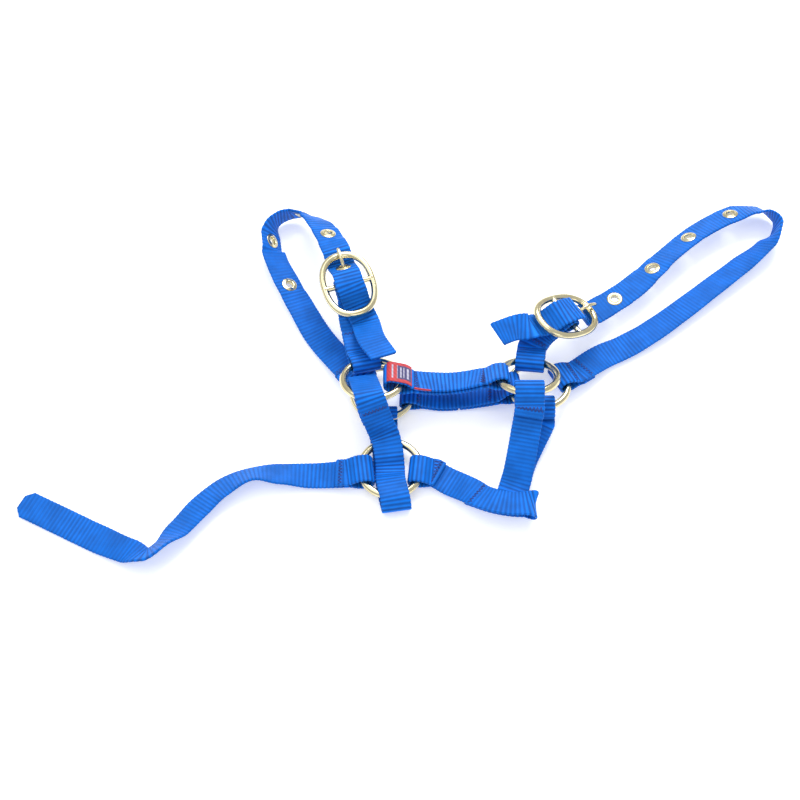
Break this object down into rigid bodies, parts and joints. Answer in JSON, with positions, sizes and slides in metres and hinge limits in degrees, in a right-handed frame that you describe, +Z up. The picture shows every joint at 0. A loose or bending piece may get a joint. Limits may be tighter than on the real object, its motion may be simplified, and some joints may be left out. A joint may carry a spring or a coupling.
{
  "type": "webbing head halter",
  "caption": "Head halter of flat webbing straps joined by round rings, with buckled nose and crown straps, a chin strap, a throat loop and a short catch strap.",
  "frame": {"origin": "middle of the bounding box, on the surface the halter lies on", "axes": "+X along the halter's length from the catch strap to the crown loop, +Y from the jaw side to the nose and crown side, +Z up from the surface it lies on"},
  "size_m": [0.505, 0.276, 0.0408],
  "materials": {
    "blue_webbing": "woven nylon, slight sheen",
    "pale_brass": "polished, pale plating",
    "woven_label": "woven satin"
  },
  "bodies": {
    "webbing": {"nose_strap": "blue_webbing", "nose_buckle_mount": "blue_webbing", "crown_strap": "blue_webbing", "crown_buckle_mount": "blue_webbing", "cheek_strap_near": "blue_webbing", "cheek_strap_far": "blue_webbing", "chin_strap": "blue_webbing", "throat_strap": "blue_webbing", "jowl_strap": "blue_webbing", "label": "woven_label", "nose_eyelet_1_grommet": "pale_brass", "nose_eyelet_1_washer": "pale_brass", "nose_eyelet_2_grommet": "pale_brass", "nose_eyelet_2_washer": "pale_brass", "nose_eyelet_3_grommet": "pale_brass", "nose_eyelet_3_washer": "pale_brass", "nose_eyelet_4_grommet": "pale_brass", "nose_eyelet_4_washer": "pale_brass", "nose_eyelet_5_grommet": "pale_brass", "nose_eyelet_5_washer": "pale_brass", "crown_eyelet_1_grommet": "pale_brass", "crown_eyelet_1_washer": "pale_brass", "crown_eyelet_2_grommet": "pale_brass", "crown_eyelet_2_washer": "pale_brass", "crown_eyelet_3_grommet": "pale_brass", "crown_eyelet_3_washer": "pale_brass", "crown_eyelet_4_grommet": "pale_brass", "crown_eyelet_4_washer": "pale_brass", "crown_eyelet_5_grommet": "pale_brass", "crown_eyelet_5_washer": "pale_brass"},
    "nose_ring_near": {"nose_ring_near": "pale_brass"},
    "nose_ring_far": {"nose_ring_far": "pale_brass"},
    "cheek_ring_near": {"cheek_ring_near": "pale_brass"},
    "cheek_ring_far": {"cheek_ring_far": "pale_brass"},
    "chin_ring": {"chin_ring": "pale_brass"},
    "nose_buckle_frame": {"nose_buckle_frame": "pale_brass"},
    "nose_buckle_tongue": {"nose_buckle_tongue": "pale_brass"},
    "crown_buckle_frame": {"crown_buckle_frame": "pale_brass"},
    "crown_buckle_tongue": {"crown_buckle_tongue": "pale_brass"},
    "lead": {"lead_strap": "blue_webbing"}
  },
  "joints": [
    {"name": "nose_ring_near_spin", "type": "hinge", "parent": "webbing", "child": "nose_ring_near", "pos_m": [-0.0288, -0.01485, 0.024], "axis": [0, 0.3445, 0.9388], "continuous": true},
    {"name": "nose_ring_far_spin", "type": "hinge", "parent": "webbing", "child": "nose_ring_far", "pos_m": [-0.0227, -0.01435, 0.0058], "axis": [0, 0, 1], "continuous": true},
    {"name": "cheek_ring_near_spin", "type": "hinge", "parent": "webbing", "child": "cheek_ring_near", "pos_m": [0.0707, -0.01285, 0.0248], "axis": [0, 0.4512, 0.8924], "continuous": true},
    {"name": "cheek_ring_far_spin", "type": "hinge", "parent": "webbing", "child": "cheek_ring_far", "pos_m": [0.0787, -0.01135, 0.0102], "axis": [0, 0.2, 0.9798], "continuous": true},
    {"name": "chin_ring_spin", "type": "hinge", "parent": "webbing", "child": "chin_ring", "pos_m": [-0.0173, -0.07035, 0.0064], "axis": [0, 0, 1], "continuous": true},
    {"name": "nose_buckle_rock", "type": "hinge", "parent": "webbing", "child": "nose_buckle_frame", "pos_m": [-0.0453, 0.05415, 0.031], "axis": [0.9517, 0.307, 0], "range_deg": [-2, 2]},
    {"name": "nose_tongue_lift", "type": "hinge", "parent": "nose_buckle_frame", "child": "nose_buckle_tongue", "pos_m": [-0.0453, 0.05415, 0.031], "axis": [0.9517, 0.307, 0], "range_deg": [0, 4]},
    {"name": "crown_buckle_rock", "type": "hinge", "parent": "webbing", "child": "crown_buckle_frame", "pos_m": [0.0977, 0.03165, 0.027], "axis": [0.53, -0.848, 0], "range_deg": [-2, 2]},
    {"name": "crown_tongue_lift", "type": "hinge", "parent": "crown_buckle_frame", "child": "crown_buckle_tongue", "pos_m": [0.0977, 0.03165, 0.027], "axis": [0.53, -0.848, 0], "range_deg": [0, 4]},
    {"name": "lead_swing", "type": "hinge", "parent": "webbing", "child": "lead", "pos_m": [-0.03512, -0.07249, 0.0064], "axis": [-0.1191, 0.9929, 0], "range_deg": [0, 90]}
  ]
}
